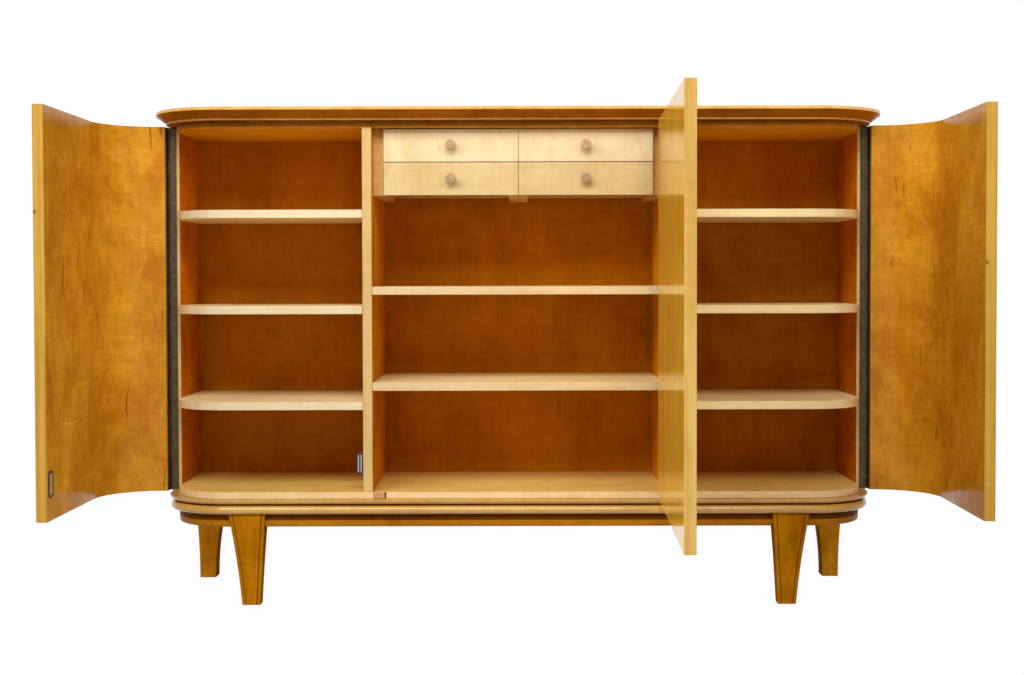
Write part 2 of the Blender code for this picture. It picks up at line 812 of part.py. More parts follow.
# Strike plate on the left door's inner face, opposite the catch
strike_right = -door_meeting - strike_edge_gap
strike_left = strike_right - strike_width
strike_outline = [
    (strike_left + strike_chamfer, catch_z - strike_height / 2),
    (strike_right - strike_chamfer, catch_z - strike_height / 2),
    (strike_right, catch_z - strike_height / 2 + strike_chamfer),
    (strike_right, catch_z + strike_height / 2 - strike_chamfer),
    (strike_right - strike_chamfer, catch_z + strike_height / 2),
    (strike_left + strike_chamfer, catch_z + strike_height / 2),
    (strike_left, catch_z + strike_height / 2 - strike_chamfer),
    (strike_left, catch_z - strike_height / 2 + strike_chamfer),
]
strike_outline = [(x + hinge_x, z) for x, z in strike_outline]
strike_seat = -door_clear + fit_gap - hinge_y
strike = prism(strike_outline, strike_seat, strike_seat + strike_thick, "Y")
add("catch_strike", strike, catch_brown, door_empties["left"])

bpy.context.view_layer.update()
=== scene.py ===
"""Looks of the birch sideboard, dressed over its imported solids."""
import json
import math

import bmesh
import bpy
from mathutils import Matrix, Vector


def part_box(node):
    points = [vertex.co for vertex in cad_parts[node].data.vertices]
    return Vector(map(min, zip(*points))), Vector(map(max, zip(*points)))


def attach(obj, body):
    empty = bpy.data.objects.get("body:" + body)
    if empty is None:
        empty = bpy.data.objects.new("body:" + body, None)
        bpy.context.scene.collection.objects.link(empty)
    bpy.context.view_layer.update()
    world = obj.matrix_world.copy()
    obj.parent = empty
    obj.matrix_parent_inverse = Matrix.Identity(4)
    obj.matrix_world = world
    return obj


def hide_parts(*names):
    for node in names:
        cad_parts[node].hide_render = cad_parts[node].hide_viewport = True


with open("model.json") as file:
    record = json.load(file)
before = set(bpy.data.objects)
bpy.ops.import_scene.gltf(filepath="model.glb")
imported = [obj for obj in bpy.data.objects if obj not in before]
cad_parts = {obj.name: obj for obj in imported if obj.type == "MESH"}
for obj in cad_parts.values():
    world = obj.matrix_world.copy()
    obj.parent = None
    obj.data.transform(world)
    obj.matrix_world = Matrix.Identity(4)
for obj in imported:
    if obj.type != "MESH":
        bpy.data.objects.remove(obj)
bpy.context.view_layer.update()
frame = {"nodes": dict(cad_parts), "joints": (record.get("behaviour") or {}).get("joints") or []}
scene = bpy.context.scene
scene.view_settings.view_transform = "Standard"

# Studio: a pale paper floor that runs out of sight, a white surround and three soft boxes.
# The camera stands at the photograph's viewpoint, a little over half the piece's height up,
# and its shift keeps the photograph's framing.
PHOTO_WIDTH = 1024
PHOTO_FOCUS = 1463.1
PHOTO_AXIS = (518.6, 317.8)
PHOTO_MIDDLE = (512.0, 337.5)
CAMERA_PLACE = (0.0, -2.9578, 0.6961)
CAMERA_PITCH = 88.508
CAMERA_ROLL = -0.12
SENSOR_WIDTH = 36.0
SURROUND_LIGHT = 0.18
FLOOR_HALF = 30.0
FLOOR_GLOW = 0.98
FLOOR_COLOUR = (0.42, 0.41, 0.39, 1.0)

camera_data = bpy.data.cameras.new("camera")
camera_data.sensor_width = SENSOR_WIDTH
camera_data.lens = SENSOR_WIDTH * PHOTO_FOCUS / PHOTO_WIDTH
camera_data.shift_x = (PHOTO_MIDDLE[0] - PHOTO_AXIS[0]) / PHOTO_WIDTH
camera_data.shift_y = (PHOTO_AXIS[1] - PHOTO_MIDDLE[1]) / PHOTO_WIDTH
camera = bpy.data.objects.new("camera", camera_data)
camera_pitch = Matrix.Rotation(math.radians(CAMERA_PITCH), 4, "X")
camera_roll = Matrix.Rotation(math.radians(CAMERA_ROLL), 4, "Z")
camera.matrix_world = Matrix.Translation(CAMERA_PLACE) @ camera_pitch @ camera_roll
scene.collection.objects.link(camera)
scene.camera = camera


def soft_box(name, place, aim, size, power, mirrored):
    """One rectangular studio lamp, mirrored by the lacquer or not."""
    lamp = bpy.data.lights.new(name, "AREA")
    lamp.shape = "RECTANGLE"
    lamp.size, lamp.size_y = size
    lamp.energy = power
    made = bpy.data.objects.new(name, lamp)
    made.location = place
    made.rotation_euler = (Vector(aim) - Vector(place)).to_track_quat("-Z", "Y").to_euler()
    made.visible_glossy = mirrored
    scene.collection.objects.link(made)


soft_box(
    "key_lamp", place=(-0.4, -3.2, 3.2), aim=(0.0, 0.2, 0.6), size=(3.4, 1.6), power=151.0, mirrored=True,
)
soft_box(
    "left_lamp", place=(-3.4, -2.4, 2.4), aim=(0.4, 0.1, 0.7), size=(1.6, 1.8), power=78.0, mirrored=False,
)
soft_box(
    "right_lamp", place=(3.6, -2.6, 2.2), aim=(-0.4, 0.1, 0.7), size=(1.4, 1.6), power=73.0, mirrored=False,
)


def seen_by_eye(nodes, links):
    """1 for rays from the camera and for reflections, 0 for light that falls on the piece."""
    ray = nodes.new("ShaderNodeLightPath")
    seen = ray.outputs["Is Camera Ray"]
    for kind in ("Is Glossy Ray", "Is Transmission Ray"):
        either = nodes.new("ShaderNodeMath")
        either.operation = "MAXIMUM"
        links.new(seen, either.inputs[0])
        links.new(ray.outputs[kind], either.inputs[1])
        seen = either.outputs[0]
    return seen


world = bpy.data.worlds.new("studio")
world.use_nodes = True
scene.world = world
nodes = world.node_tree.nodes
links = world.node_tree.links
surround = nodes["Background"]
surround.inputs["Color"].default_value = (1.0, 1.0, 1.0, 1.0)
level = nodes.new("ShaderNodeMapRange")
level.inputs["To Min"].default_value = SURROUND_LIGHT
level.inputs["To Max"].default_value = 1.0
links.new(seen_by_eye(nodes, links), level.inputs["Value"])
links.new(level.outputs["Result"], surround.inputs["Strength"])

floor_shape = bmesh.new()
bmesh.ops.create_grid(floor_shape, x_segments=1, y_segments=1, size=FLOOR_HALF)
floor_mesh = bpy.data.meshes.new("floor")
floor_shape.to_mesh(floor_mesh)
floor_shape.free()
floor = bpy.data.objects.new("floor", floor_mesh)
scene.collection.objects.link(floor)
floor_paper = bpy.data.materials.new("floor_paper")
floor_paper.use_nodes = True
nodes = floor_paper.node_tree.nodes
links = floor_paper.node_tree.links
nodes.remove(nodes["Principled BSDF"])
paper = nodes.new("ShaderNodeBsdfDiffuse")
paper.inputs["Color"].default_value = FLOOR_COLOUR
glow = nodes.new("ShaderNodeEmission")
share = nodes.new("ShaderNodeMath")
share.operation = "MULTIPLY"
share.inputs[1].default_value = FLOOR_GLOW
links.new(seen_by_eye(nodes, links), share.inputs[0])
blend = nodes.new("ShaderNodeMixShader")
links.new(share.outputs[0], blend.inputs["Fac"])
links.new(paper.outputs["BSDF"], blend.inputs[1])
links.new(glow.outputs["Emission"], blend.inputs[2])
links.new(blend.outputs["Shader"], nodes["Material Output"].inputs["Surface"])
floor_mesh.materials.append(floor_paper)

# Legs: solid birch, tapered towards the foot and bowed, with a bead scratched down both
# edges of the front face. Both pairs straddle the apron and are glued to it.
MOTTLE_SHARE = 0.55
PORE_SHADE = -0.12
FLECK_SHADE = (0.55, 0.36, 0.2)
CURL_LIGHT = 1.35
CURL_GATHER = 0.24
KNOT_REACH = 0.0055
KNOT_HEART = 0.0018
GLOSS_SWING = 0.04
GRAIN_BUMP = 0.10
GRAIN_RELIEF = 0.0004
MERGE_GAP = 1e-6
FLAT_ANGLE = 0.2


def srgb(red, green, blue):
    """A colour written in 0 to 255 screen values, as linear light."""
    values = []
    for value in (red, green, blue):
        value /= 255
        values.append(value / 12.92 if value <= 0.04045 else ((value + 0.055) / 1.055) ** 2.4)
    return (*values, 1.0)


def birch(
    name, pale, deep, along="Z", clouds=0.5, ripple=0.2, lines=0.4, flecks=0.15, rough=0.4, shine=0.25,
    curl=0.0, knot=None,
):
    """Birch under lacquer: slow clouds, cross ripple, growth lines, pores, pale curl and brown flecks."""
    made = bpy.data.materials.new(name)
    made.use_nodes = True
    nodes = made.node_tree.nodes
    links = made.node_tree.links
    shader = nodes["Principled BSDF"]
    place = nodes.new("ShaderNodeTexCoord").outputs["Object"]

    def noise(across, lengthwise, detail, distortion=0.0):
        """Noise with so many waves to the metre across and along the grain."""
        scales = [across] * 3
        scales["XYZ".index(along)] = lengthwise
        turn = nodes.new("ShaderNodeMapping")
        turn.inputs["Scale"].default_value = scales
        links.new(place, turn.inputs["Vector"])
        node = nodes.new("ShaderNodeTexNoise")
        node.inputs["Scale"].default_value = 1.0
        node.inputs["Detail"].default_value = detail
        node.inputs["Distortion"].default_value = distortion
        links.new(turn.outputs["Vector"], node.inputs["Vector"])
        return node.outputs["Fac"]

    def spread(value, low, high, out_low, out_high):
        """Stretch a stretch of values onto another, softly."""
        node = nodes.new("ShaderNodeMapRange")
        node.interpolation_type = "SMOOTHSTEP"
        settings = {"From Min": low, "From Max": high, "To Min": out_low, "To Max": out_high}
        for socket, number in settings.items():
            node.inputs[socket].default_value = number
        links.new(value, node.inputs["Value"])
        return node.outputs["Result"]

    def swing(value, low, high):
        """Stretch a stretch of values evenly about nothing."""
        return spread(value, low, high, -0.5, 0.5)

    def add(value, amount, total):
        """total plus amount times value."""
        node = nodes.new("ShaderNodeMath")
        node.operation = "MULTIPLY_ADD"
        links.new(value, node.inputs[0])
        node.inputs[1].default_value = amount
        if isinstance(total, float):
            node.inputs[2].default_value = total
        else:
            links.new(total, node.inputs[2])
        return node.outputs[0]

    def mix(factor, first, second):
        """Blend a colour or a colour socket with a second colour."""
        node = nodes.new("ShaderNodeMix")
        node.data_type = "RGBA"
        links.new(factor, node.inputs["Factor"])
        colours = [socket for socket in node.inputs if socket.type == "RGBA"]
        if isinstance(first, tuple):
            colours[0].default_value = first
        else:
            links.new(first, colours[0])
        colours[1].default_value = second
        return next(socket for socket in node.outputs if socket.type == "RGBA")

    cloud = swing(noise(across=6.5, lengthwise=4.5, detail=4.0, distortion=0.9), 0.30, 0.70)
    mottle = swing(noise(across=34.0, lengthwise=24.0, detail=4.0, distortion=1.2), 0.28, 0.72)
    wave = swing(noise(across=7.0, lengthwise=36.0, detail=3.0, distortion=1.8), 0.30, 0.70)
    growth = swing(noise(across=150.0, lengthwise=3.0, detail=4.0, distortion=0.2), 0.28, 0.72)
    pores = spread(noise(across=850.0, lengthwise=24.0, detail=2.0), 0.40, 0.75, 0.0, 1.0)
    tone = add(cloud, clouds, 0.5)
    tone = add(mottle, clouds * MOTTLE_SHARE, tone)
    tone = add(wave, ripple, tone)
    tone = add(growth, lines, tone)
    tone = add(pores, PORE_SHADE, tone)
    colour = mix(tone, deep, pale)
    if curl:
        waves = noise(across=9.0, lengthwise=60.0, detail=3.0, distortion=1.6)
        wrinkles = spread(add(cloud, CURL_GATHER, waves), 0.64, 0.82, 0.0, curl)
        light = (*(min(1.0, value * CURL_LIGHT) for value in pale[:3]), 1.0)
        colour = mix(wrinkles, colour, light)
    streaks = noise(across=66.0, lengthwise=9.0, detail=2.0, distortion=0.6)
    fleck = (*(value * shade for value, shade in zip(deep, FLECK_SHADE)), 1.0)
    colour = mix(spread(streaks, 0.66, 0.75, 0.0, flecks), colour, fleck)
    if knot:
        away = nodes.new("ShaderNodeVectorMath")
        away.operation = "DISTANCE"
        away.inputs[1].default_value = knot
        links.new(place, away.inputs[0])
        colour = mix(spread(away.outputs["Value"], KNOT_HEART, KNOT_REACH, 1.0, 0.0), colour, fleck)
    links.new(colour, shader.inputs["Base Color"])
    gloss = spread(growth, -0.5, 0.5, rough - GLOSS_SWING, rough + GLOSS_SWING)
    links.new(gloss, shader.inputs["Roughness"])
    shader.inputs["Specular IOR Level"].default_value = shine
    bump = nodes.new("ShaderNodeBump")
    bump.inputs["Strength"].default_value = GRAIN_BUMP
    bump.inputs["Distance"].default_value = GRAIN_RELIEF
    links.new(add(growth, 0.5, pores), bump.inputs["Height"])
    links.new(bump.outputs["Normal"], shader.inputs["Normal"])
    return made


def piece(name, shape, finishes, body, stands_for=(), crease=32.0):
    """Turn a bmesh into a dressed piece that rides on a body."""
    bmesh.ops.remove_doubles(shape, verts=shape.verts, dist=MERGE_GAP)
    bmesh.ops.recalc_face_normals(shape, faces=shape.faces)
    mesh = bpy.data.meshes.new(name)
    shape.to_mesh(mesh)
    shape.free()
    for finish in finishes:
        mesh.materials.append(finish)
    mesh.shade_smooth()
    mesh.set_sharp_from_angle(angle=math.radians(crease))
    made = bpy.data.objects.new(name, mesh)
    scene.collection.objects.link(made)
    made.modifiers.new("flat_faces", "WEIGHTED_NORMAL").keep_sharp = True
    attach(made, body)
    if stands_for:
        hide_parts(*stands_for)


def solid_copy(node):
    """A merged copy of a solid, with its flat faces whole again."""
    shape = bmesh.new()
    shape.from_mesh(frame["nodes"][node].data)
    bmesh.ops.remove_doubles(shape, verts=shape.verts, dist=MERGE_GAP)
    bmesh.ops.dissolve_limit(
        shape, angle_limit=math.radians(FLAT_ANGLE), verts=shape.verts, edges=shape.edges,
    )
    return shape


def soften(shape, width, steps=2, least_angle=40.0, least_area=0.0):
    """Ease the sharp edges between faces that are larger than an area."""
    sharp = []
    for edge in shape.edges:
        if edge.is_manifold and edge.calc_face_angle() > math.radians(least_angle):
            if min(face.calc_area() for face in edge.link_faces) > least_area:
                sharp.append(edge)
    bmesh.ops.bevel(
        shape, geom=sharp, offset=width, offset_type="OFFSET", segments=steps, profile=0.5,
        affect="EDGES", material=-1, clamp_overlap=True,
    )


sides = (("left", -1), ("right", 1))
SMALL_FACE = 1e-4
LEG_EASE = 0.0016
BEAD_SLANT = 0.4
leg_birch = birch(
    "leg_birch", srgb(196, 128, 14), srgb(150, 88, 3),
    clouds=0.5, ripple=0.15, lines=0.3, flecks=0.15, rough=0.4, shine=0.0,
)
# Painted light: the back legs get a paler copy of the front legs' birch, to offset the shade of the carcass
# over them.
back_leg_painted_light = birch(
    "back_leg_painted_light", srgb(234, 158, 36), srgb(190, 118, 13),
    clouds=0.5, ripple=0.15, lines=0.3, flecks=0.15, rough=0.4, shine=0.0,
)
# Painted shade: a dark birch for the bead's groove faces, where shade falls in the crease.
bead_groove_painted_shade = birch("bead_groove_painted_shade", srgb(112, 58, 2), srgb(88, 42, 1), lines=0.3, rough=0.5, shine=0.0)
for label, _ in sides:
    for row, finish in (("front", leg_birch), ("back", back_leg_painted_light)):
        node = f"leg_{row}_{label}"
        shape = solid_copy(node)
        # Faces leaning front and sideways, the groove's walls, take the painted shade.
        for face in shape.faces:
            if face.normal.y < -BEAD_SLANT and abs(face.normal.x) > BEAD_SLANT:
                face.material_index = 1
        soften(shape, LEG_EASE, steps=3, least_area=SMALL_FACE)
        piece(f"{row}_leg_{label}", shape, [finish, bead_groove_painted_shade], "carcass", [node])

# Apron: a birch frame under the base moulding, bent round the front corners, with its lower
# edge rounded over and its upper half coloured darker as painted shade from the bead. The legs are glued
# into it.
APRON_THICK = 0.022
APRON_RADIUS = 0.1201
APRON_EASE = 0.0045
APRON_SHADE_SHARE = 0.5
CORNER_STEPS = 28


def round_corners(low, high, radius, left=True, right=True):
    """A board's outline with square back corners and round front corners."""
    shape = bmesh.new()
    bmesh.ops.create_grid(shape, x_segments=1, y_segments=1, size=0.5)
    bmesh.ops.scale(shape, vec=(high.x - low.x, high.y - low.y, 1.0), verts=shape.verts)
    middle = (low + high) / 2
    bmesh.ops.translate(shape, vec=(middle.x, middle.y, low.z), verts=shape.verts)
    rounded = []
    for vert in shape.verts:
        at_left = vert.co.x < middle.x
        if vert.co.y < middle.y and (left if at_left else right):
            rounded.append(vert)
    bmesh.ops.bevel(
        shape, geom=rounded, offset=radius, offset_type="OFFSET", segments=CORNER_STEPS, profile=0.5,
        affect="VERTICES", material=-1,
    )
    return shape


def only(kind, made):
    """The elements of one kind among an operator's results."""
    return [element for element in made if isinstance(element, kind)]


def raise_faces(shape, height, faces):
    """Extrude faces straight up."""
    grown = bmesh.ops.extrude_face_region(shape, geom=faces)["geom"]
    bmesh.ops.translate(shape, vec=(0.0, 0.0, height), verts=only(bmesh.types.BMVert, grown))
    bmesh.ops.recalc_face_normals(shape, faces=shape.faces)


apron_birch = birch(
    "apron_birch", srgb(190, 126, 19), srgb(154, 92, 5),
    along="X", clouds=0.5, ripple=0.2, lines=0.4, flecks=0.1, rough=0.26, shine=0.06,
)
# Painted shade: a darker birch for the apron's upper half, where the bead's shadow falls.
apron_painted_shade = birch(
    "apron_painted_shade", srgb(126, 70, 3), srgb(96, 48, 1), along="X", clouds=0.5, lines=0.3, rough=0.4, shine=0.03,
)
low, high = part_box("base_apron")
shape = round_corners(low, high, APRON_RADIUS)
hollow = list(shape.faces)
bmesh.ops.inset_region(shape, faces=hollow, thickness=APRON_THICK, use_boundary=True, use_even_offset=True)
bmesh.ops.delete(shape, geom=hollow, context="FACES")
raise_faces(shape, high.z - low.z, list(shape.faces))
soften(shape, APRON_EASE, steps=4, least_angle=50.0)
# The faces above this height take the painted shade.
painted_shade_from = high.z - (high.z - low.z) * APRON_SHADE_SHARE
geom = shape.verts[:] + shape.edges[:] + shape.faces[:]
bmesh.ops.bisect_plane(shape, geom=geom, plane_co=(0.0, 0.0, painted_shade_from), plane_no=(0.0, 0.0, 1.0))
for face in shape.faces:
    if face.calc_center_median().z > painted_shade_from:
        face.material_index = 1
piece("apron", shape, [apron_birch, apron_painted_shade], "carcass", ["base_apron"])

# Base moulding: birch, run round the front and sides under the bottom board in three layers,
# a half-round bead at the bottom, a narrow quirk that stays in shadow, its finish painted dark as shade, and
# an ovolo on top.
BASE_RADIUS = 0.1403
BASE_STEPS = 7
BEAD_HEIGHT = 0.0183
BEAD_SETBACK = 0.002
BEAD_SHARE = 0.48
QUIRK_HEIGHT = 0.0038
QUIRK_SETBACK = 0.010
OVOLO_ROUND = 0.0086
# Places closer than a hair count as the same
HAIR = 1e-5
base_birch = birch(
    "base_birch", srgb(216, 170, 84), srgb(190, 138, 50),
    along="X", clouds=0.5, ripple=0.2, lines=0.25, flecks=0.1, rough=0.14, shine=0.6,
)
# Painted shade: a near-black finish for the quirk and the pad's pocket, recesses where shade falls.
recess_painted_shade = birch("recess_painted_shade", srgb(116, 66, 12), srgb(92, 48, 6), along="X", rough=0.5, shine=0.02)
base_low, base_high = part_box("base_moulding")


def base_layer(setback, bottom, top):
    """One layer of the moulding, its outline set back from the ovolo's."""
    near = Vector((base_low.x + setback, base_low.y + setback, bottom))
    far = Vector((base_high.x - setback, base_high.y, top))
    shape = round_corners(near, far, BASE_RADIUS - setback)
    raise_faces(shape, top - bottom, list(shape.faces))
    return shape


def round_rims(shape, width, heights):
    """Round a layer's rims at some heights, on the front and sides only."""
    rims = []
    for edge in shape.edges:
        at_back = all(vert.co.y > base_high.y - HAIR for vert in edge.verts)
        at_height = any(all(abs(vert.co.z - height) < HAIR for vert in edge.verts) for height in heights)
        if at_height and not at_back:
            rims.append(edge)
    bmesh.ops.bevel(
        shape, geom=rims, offset=width, offset_type="OFFSET", segments=BASE_STEPS, profile=0.5,
        affect="EDGES", material=-1,
    )


bead_top = base_low.z + BEAD_HEIGHT
quirk_top = bead_top + QUIRK_HEIGHT
bead = base_layer(BEAD_SETBACK, base_low.z, bead_top)
round_rims(bead, BEAD_SHARE * BEAD_HEIGHT, (base_low.z, bead_top))
piece("base_bead", bead, [base_birch], "carcass", ["base_moulding"])
quirk = base_layer(QUIRK_SETBACK, bead_top, quirk_top)
piece("base_quirk", quirk, [recess_painted_shade], "carcass")
ovolo = base_layer(0.0, quirk_top, base_high.z)
round_rims(ovolo, OVOLO_ROUND, (quirk_top,))
piece("base_ovolo", ovolo, [base_birch], "carcass")

# Bottom board: birch-veneered, with a pale solid lipping bent round the front corners. It
# lies on the base moulding between the sides, and a felt pad for the middle door is let
# into its front edge.
CORNER_RADIUS = 0.120
BOARD_EASE = 0.0008
PAD_EASE = 0.0009
FIT_GAP = 0.0003
POCKET_SLACK = 0.0035
# How far a face's normal must lean to an axis to count as facing it, and as flat on it
FACING = 0.5
FLAT_ON = 0.99
SPOT_EDGES = (0.35, 0.65)
SPOT_BUMP = 0.15
SPOT_RELIEF = 0.0003
floor_birch = birch(
    "floor_birch", srgb(248, 215, 128), srgb(229, 184, 90),
    along="X", clouds=0.5, ripple=0.3, lines=0.3, flecks=0.15, rough=0.34, shine=0.2,
)
front_lipping = birch(
    "front_lipping", srgb(238, 214, 166), srgb(223, 191, 132),
    along="X", clouds=0.5, ripple=0.2, lines=0.3, flecks=0.15, rough=0.38, shine=0.15,
)


def mark_edges(shape):
    """Give the upright faces of a board the second finish."""
    for face in shape.faces:
        if abs(face.normal.z) < FACING:
            face.material_index = 1


def split_face(shape, face, place):
    """Cut one face by an upright plane across X."""
    geom = [face] + list(face.edges) + list(face.verts)
    bmesh.ops.bisect_plane(shape, geom=geom, plane_co=(place, 0.0, 0.0), plane_no=(1.0, 0.0, 0.0))


def front_face(shape, x):
    """The flat front face of a board that spans a place across X."""
    for face in shape.faces:
        ends = sorted(vert.co.x for vert in face.verts)
        if face.normal.y < -FLAT_ON and ends[0] < x < ends[-1]:
            return face


board_low, board_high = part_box("bottom_board")
shape = round_corners(board_low, board_high, CORNER_RADIUS)
raise_faces(shape, board_high.z - board_low.z, list(shape.faces))
soften(shape, BOARD_EASE)
mark_edges(shape)
pad_low, pad_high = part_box("door_pad")
pad_middle = (pad_low + pad_high) / 2
for place in (pad_low.x - FIT_GAP, pad_high.x + POCKET_SLACK):
    split_face(shape, front_face(shape, pad_middle.x), place)
pocket = front_face(shape, pad_middle.x)
pocket_depth = pad_high.y - pad_low.y + FIT_GAP
walls = bmesh.ops.inset_region(shape, faces=[pocket], thickness=0.0, depth=-pocket_depth)
# The pocket's back and walls take the painted-shade finish, for the shade in the slot round the pad.
for face in [pocket] + walls["faces"]:
    face.material_index = 2
finishes = [floor_birch, front_lipping, recess_painted_shade]
piece("floor_board", shape, finishes, "carcass", ["bottom_board"])


def box_shape(low, high):
    """A box between two corners."""
    shape = bmesh.new()
    bmesh.ops.create_cube(shape, size=1.0)
    bmesh.ops.scale(shape, vec=high - low, verts=shape.verts)
    bmesh.ops.translate(shape, vec=(low + high) / 2, verts=shape.verts)
    return shape


def plain_finish(name, colour, spots, scale, rough, metal=0.0):
    """A finish without grain: two close colours in fine clouds, with a little bump."""
    made = bpy.data.materials.new(name)
    made.use_nodes = True
    nodes = made.node_tree.nodes
    links = made.node_tree.links
    shader = nodes["Principled BSDF"]
    cloud = nodes.new("ShaderNodeTexNoise")
    cloud.inputs["Scale"].default_value = scale
    cloud.inputs["Detail"].default_value = 4.0
    links.new(nodes.new("ShaderNodeTexCoord").outputs["Object"], cloud.inputs["Vector"])
    ramp = nodes.new("ShaderNodeValToRGB")
    for element, edge, tone in zip(ramp.color_ramp.elements, SPOT_EDGES, (spots, colour)):
        element.position = edge
        element.color = tone
    links.new(cloud.outputs["Fac"], ramp.inputs["Fac"])
    links.new(ramp.outputs["Color"], shader.inputs["Base Color"])
    bump = nodes.new("ShaderNodeBump")
    bump.inputs["Strength"].default_value = SPOT_BUMP
    bump.inputs["Distance"].default_value = SPOT_RELIEF
    links.new(cloud.outputs["Fac"], bump.inputs["Height"])
    links.new(bump.outputs["Normal"], shader.inputs["Normal"])
    shader.inputs["Roughness"].default_value = rough
    shader.inputs["Metallic"].default_value = metal
    return made


pad_felt = plain_finish("pad_felt", srgb(214, 156, 120), srgb(184, 122, 90), scale=500.0, rough=0.9)
shape = box_shape(pad_low, pad_high)
soften(shape, PAD_EASE, steps=3)
piece("felt_pad", shape, [pad_felt], "carcass", ["door_pad"])

# Back panel: birch plywood let in between the sides, held by slotted screws all round and
# into the dividers.
BACK_SCREWS_ACROSS = 7
BACK_SCREWS_UP = 4
BACK_SCREW_INSET = 0.012
SCREW_RADIUS = 0.0032
HEAD_SIDES = 18
HEAD_TAPER = 0.84
HEAD_RISE = 0.3
SLOT_HALF = 0.16
SLOT_DEPTH = 0.2
SLOT_TURN = 1.9
# A face whose normal leans this far to an axis is square to it
SQUARE_ON = 0.9
inner_birch = birch(
    "inner_birch", srgb(208, 130, 5), srgb(178, 101, 1),
    clouds=0.6, ripple=0.15, lines=0.15, flecks=0.25, rough=0.5, shine=0.04,
)
screw_steel = plain_finish(
    "screw_steel", srgb(128, 118, 100), srgb(96, 86, 70), scale=700.0, rough=0.36, metal=1.0,
)
back_finishes = frame["nodes"]["back_panel"].data.materials
back_finishes.clear()
back_finishes.append(inner_birch)


def screw_head(radius):
    """One slotted head standing up along Z, as a mesh to repeat."""
    slot_half = radius * SLOT_HALF
    shape = bmesh.new()
    bmesh.ops.create_cone(
        shape, cap_ends=True, segments=HEAD_SIDES, radius1=radius, radius2=radius * HEAD_TAPER,
        depth=radius * HEAD_RISE,
    )
    for place in (-slot_half, slot_half):
        geom = shape.verts[:] + shape.edges[:] + shape.faces[:]
        bmesh.ops.bisect_plane(shape, geom=geom, plane_co=(place, 0.0, 0.0), plane_no=(1.0, 0.0, 0.0))
    slot = []
    for face in shape.faces:
        if face.normal.z > SQUARE_ON and abs(face.calc_center_bounds().x) < slot_half:
            slot.append(face)
    bmesh.ops.inset_region(shape, faces=slot, thickness=0.0, depth=-radius * SLOT_DEPTH)
    mesh = bpy.data.meshes.new("screw_head")
    shape.to_mesh(mesh)
    shape.free()
    return mesh


def set_screws(shape, radius, places, facing):
    """Repeat a screw head at places on one face, each slot at its own angle."""
    head = screw_head(radius)
    stand = Vector((0.0, 0.0, 1.0)).rotation_difference(Vector(facing)).to_matrix().to_4x4()
    for number, place in enumerate(places):
        known = set(shape.verts)
        shape.from_mesh(head)
        added = [vert for vert in shape.verts if vert not in known]
        turned = stand @ Matrix.Rotation(number * SLOT_TURN, 4, "Z")
        bmesh.ops.transform(shape, matrix=Matrix.Translation(place) @ turned, verts=added)
    bpy.data.meshes.remove(head)


low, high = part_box("back_panel")
places = []
for step in range(BACK_SCREWS_ACROSS):
    x = low.x + BACK_SCREW_INSET + (high.x - low.x - 2 * BACK_SCREW_INSET) * step / (BACK_SCREWS_ACROSS - 1)
    places += [(x, high.y, low.z + BACK_SCREW_INSET), (x, high.y, high.z - BACK_SCREW_INSET / 2)]
for step in range(1, BACK_SCREWS_UP):
    z = low.z + (high.z - low.z) * step / BACK_SCREWS_UP
    for label, side in sides:
        edge_x = side * (high.x - BACK_SCREW_INSET)
        divider_low, divider_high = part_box(f"divider_{label}")
        places += [(edge_x, high.y, z), ((divider_low.x + divider_high.x) / 2, high.y, z)]
shape = bmesh.new()
set_screws(shape, SCREW_RADIUS, places, (0.0, 1.0, 0.0))
piece("back_screws", shape, [screw_steel], "carcass")

# Sides and dividers: birch-veneered boards with pale lippings down their front edges. The
# sides stand on the base moulding beside the bottom board, the dividers between the bottom
# board and the carcass top, and both are bored with rows of holes for the shelf pins.
PANEL_EASE = 0.0007
BORE_REAM = 1.35
panel_birch = {
    "side_panel": birch(
        "side_birch", srgb(220, 131, 18), srgb(188, 98, 5),
        clouds=0.7, ripple=0.2, lines=0.2, flecks=0.3, rough=0.42, shine=0.06,
    ),
    "divider": birch(
        "divider_birch", srgb(226, 148, 30), srgb(194, 114, 11),
        clouds=0.7, ripple=0.2, lines=0.2, flecks=0.3, rough=0.42, shine=0.06,
    ),
}
outside_birch = birch(
    "outside_birch", srgb(218, 156, 40), srgb(184, 116, 14),
    clouds=0.7, ripple=0.25, lines=0.12, flecks=0.6, rough=0.24, shine=0.12,
)
edge_lipping = birch(
    "edge_lipping", srgb(218, 188, 128), srgb(200, 164, 98),
    clouds=0.4, ripple=0.2, lines=0.3, flecks=0.15, rough=0.4, shine=0.12,
)
# Painted shade: the pin holes' walls are coloured near black, for the shade inside them.
bore_painted_shade = plain_finish("bore_painted_shade", srgb(30, 6, 0), srgb(20, 3, 0), scale=300.0, rough=0.8)


def mark_bores(shape):
    """Ream the pin holes, which lie inside the board, and give them the third finish, painted shade for
    their dark insides.
    """
    places = []
    for face in shape.faces:
        if abs(face.normal.x) > SQUARE_ON and face.calc_area() > SMALL_FACE:
            places.append(face.calc_center_median().x)
    for face in shape.faces:
        inside = min(places) + HAIR < face.calc_center_median().x < max(places) - HAIR
        if not inside or face.calc_area() > SMALL_FACE:
            continue
        face.material_index = 2
        if abs(face.normal.x) > SQUARE_ON:
            middle = Matrix.Translation(-face.calc_center_median())
            ring = {edge.other_vert(vert) for vert in face.verts for edge in vert.link_edges}
            bmesh.ops.scale(shape, vec=(1.0, BORE_REAM, BORE_REAM), space=middle, verts=list(ring))


for label, side in sides:
    for part in ("side_panel", "divider"):
        node = f"{part}_{label}"
        shape = solid_copy(node)
        mark_bores(shape)
        soften(shape, PANEL_EASE, least_area=SMALL_FACE)
        for face in shape.faces:
            if face.calc_area() < SMALL_FACE:
                continue
            if face.normal.y < -FACING:
                face.material_index = 1
            if part == "side_panel" and face.normal.x * side > SQUARE_ON:
                face.material_index = 3
        finishes = [panel_birch[part], edge_lipping, bore_painted_shade, outside_birch]
        piece(f"{part}_{label}_veneered", shape, finishes, "carcass", [node])
